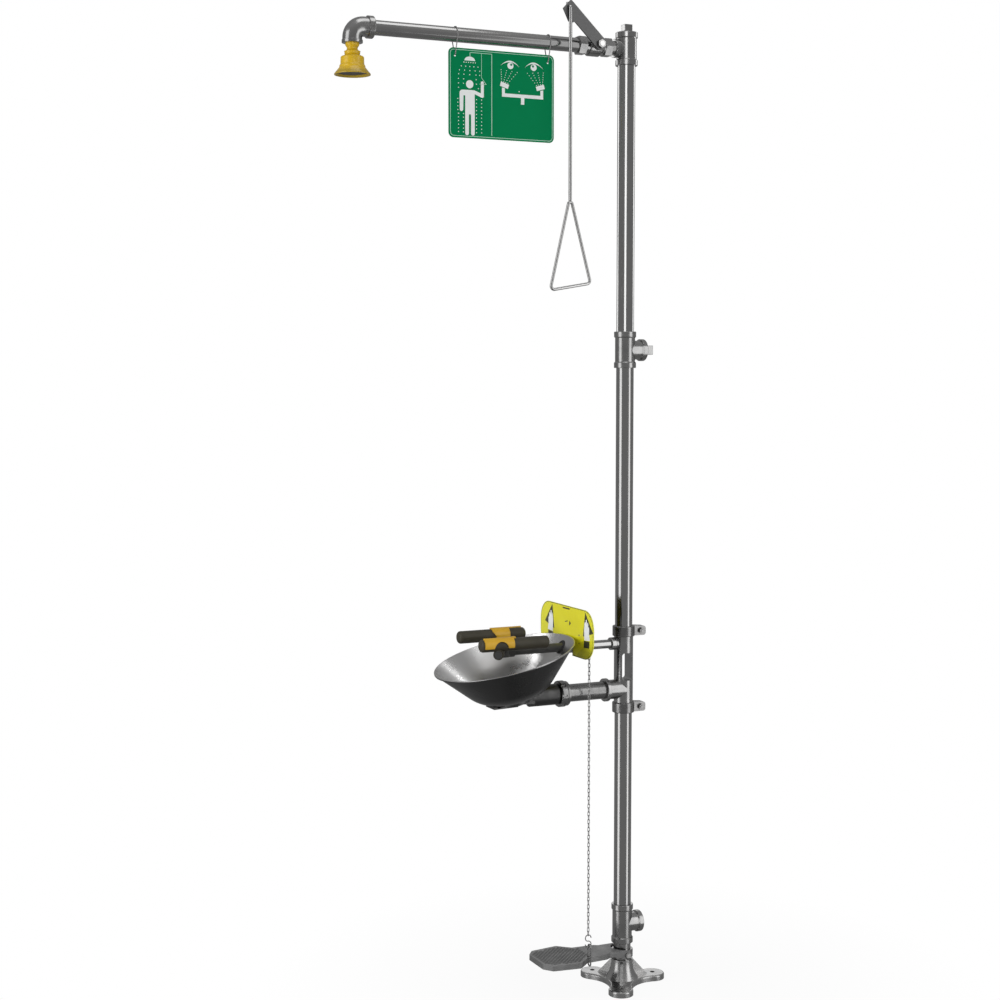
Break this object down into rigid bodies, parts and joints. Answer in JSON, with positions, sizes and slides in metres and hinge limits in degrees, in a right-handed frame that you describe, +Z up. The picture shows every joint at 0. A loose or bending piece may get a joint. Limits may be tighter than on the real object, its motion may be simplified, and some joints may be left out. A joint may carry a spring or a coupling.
{
  "type": "eyewash station",
  "caption": "Free-standing emergency drench shower and eyewash on a pipe stanchion, with bowl, spray bars, push paddle, foot treadle, pull handle and hanging sign.",
  "frame": {"origin": "on the floor, on the stanchion's axis, at the underside of the base", "axes": "+Z up; -Y towards the user (arm, bowl and treadle); +Y towards the waste and supply outlets; +X towards the pull rod and the chain"},
  "size_m": [0.341, 0.8455, 2.36],
  "materials": {
    "stainless_pipe": "polished",
    "stainless_casting": "polished casting",
    "hardware": "bright",
    "polished_steel": "polished",
    "rod_steel": "satin",
    "lever_plate": "satin",
    "bowl_steel": "satin",
    "drain_metal": "dull",
    "treadle_metal": "matt, diamond tread",
    "chain_steel": "bright",
    "valve_seat": "matt",
    "black_rubber": "matt",
    "yellow_plastic": "glossy",
    "amber_plastic": "glossy",
    "dark_plastic": "matt",
    "grey_plastic": "satin",
    "yellow_paint": "semi-gloss",
    "sign_green": "glossy, white graphics"
  },
  "bodies": {
    "stand": {"bowl": "bowl_steel", "clamp_bolts": "hardware", "clamp_nuts": "hardware", "clamp_rings": "stainless_casting", "drain_body": "drain_metal", "drain_gasket": "black_rubber", "drain_strainer": "polished_steel", "eyewash_nipple": "stainless_pipe", "eyewash_valve_body": "stainless_casting", "eyewash_valve_cap": "stainless_casting", "eyewash_valve_seats": "valve_seat", "floor_base": "stainless_casting", "left_spray_bar": "grey_plastic", "lower_stanchion_pipe": "stainless_pipe", "middle_stanchion_pipe": "stainless_pipe", "neck_nipple": "stainless_pipe", "pedestal_fitting": "stainless_casting", "right_spray_bar": "grey_plastic", "shower_arm": "stainless_pipe", "shower_elbow": "stainless_casting", "shower_head": "yellow_plastic", "shower_head_deflector": "dark_plastic", "shower_nipple": "stainless_pipe", "shower_valve_body": "stainless_casting", "shower_valve_cap": "stainless_casting", "shower_valve_seats": "valve_seat", "spray_covers": "amber_plastic", "spray_manifold": "dark_plastic", "strainer_screw": "hardware", "supply_grommet": "black_rubber", "supply_tee": "stainless_casting", "supply_tee_plug": "stainless_casting", "supply_tube": "stainless_pipe", "top_tee": "stainless_casting", "top_tee_plug": "stainless_casting", "treadle_collar": "stainless_casting", "treadle_pivot_screws": "hardware", "union_gasket": "black_rubber", "union_nut": "drain_metal", "union_tail": "drain_metal", "upper_stanchion_pipe": "stainless_pipe", "waste_pipe": "stainless_pipe", "waste_tee": "stainless_casting"},
    "shower_lever": {"shower_lever": "lever_plate", "shower_lever_nut": "hardware", "shower_valve_stem": "polished_steel", "shower_valve_ball": "polished_steel"},
    "pull_rod": {"pull_rod": "rod_steel"},
    "sign": {"safety_sign": "sign_green", "sign_wires": "hardware"},
    "paddle": {"push_paddle": "yellow_paint", "paddle_bracket": "lever_plate", "paddle_screws": "hardware", "paddle_stem_nut": "hardware", "eyewash_valve_stem": "polished_steel", "eyewash_valve_ball": "polished_steel"},
    "chain": {"chain": "chain_steel", "s_hook": "hardware"},
    "treadle": {"treadle": "treadle_metal", "treadle_link": "hardware"}
  },
  "joints": [
    {"name": "shower_lever_turn", "type": "hinge", "parent": "stand", "child": "shower_lever", "pos_m": [0.038, -0.089, 2.265], "axis": [1, 0, 0], "range_deg": [0, 90]},
    {"name": "pull_rod_swing", "type": "hinge", "parent": "shower_lever", "child": "pull_rod", "pos_m": [0.038, -0.17206, 2.34382], "axis": [1, 0, 0], "range_deg": [-90, 0]},
    {"name": "sign_swing", "type": "hinge", "parent": "stand", "child": "sign", "pos_m": [0, -0.326, 2.265], "axis": [0, 1, 0], "range_deg": [-20, 20]},
    {"name": "paddle_turn", "type": "hinge", "parent": "stand", "child": "paddle", "pos_m": [0.04, -0.13, 0.8445], "axis": [1, 0, 0], "range_deg": [-90, 0]},
    {"name": "chain_swing", "type": "hinge", "parent": "paddle", "child": "chain", "pos_m": [0.04, -0.1146, 0.8565], "axis": [1, 0, 0], "range_deg": [0, 89.67]},
    {"name": "treadle_turn", "type": "hinge", "parent": "stand", "child": "treadle", "pos_m": [0, 0, 0.077], "axis": [1, 0, 0], "range_deg": [0, 13.65]}
  ],
  "couplings": [
    {"joint": "pull_rod_swing", "follows": "shower_lever_turn", "ratio": -1},
    {"joint": "chain_swing", "follows": "paddle_turn", "ratio": -0.9963},
    {"joint": "treadle_turn", "follows": "paddle_turn", "ratio": -0.15167}
  ]
}
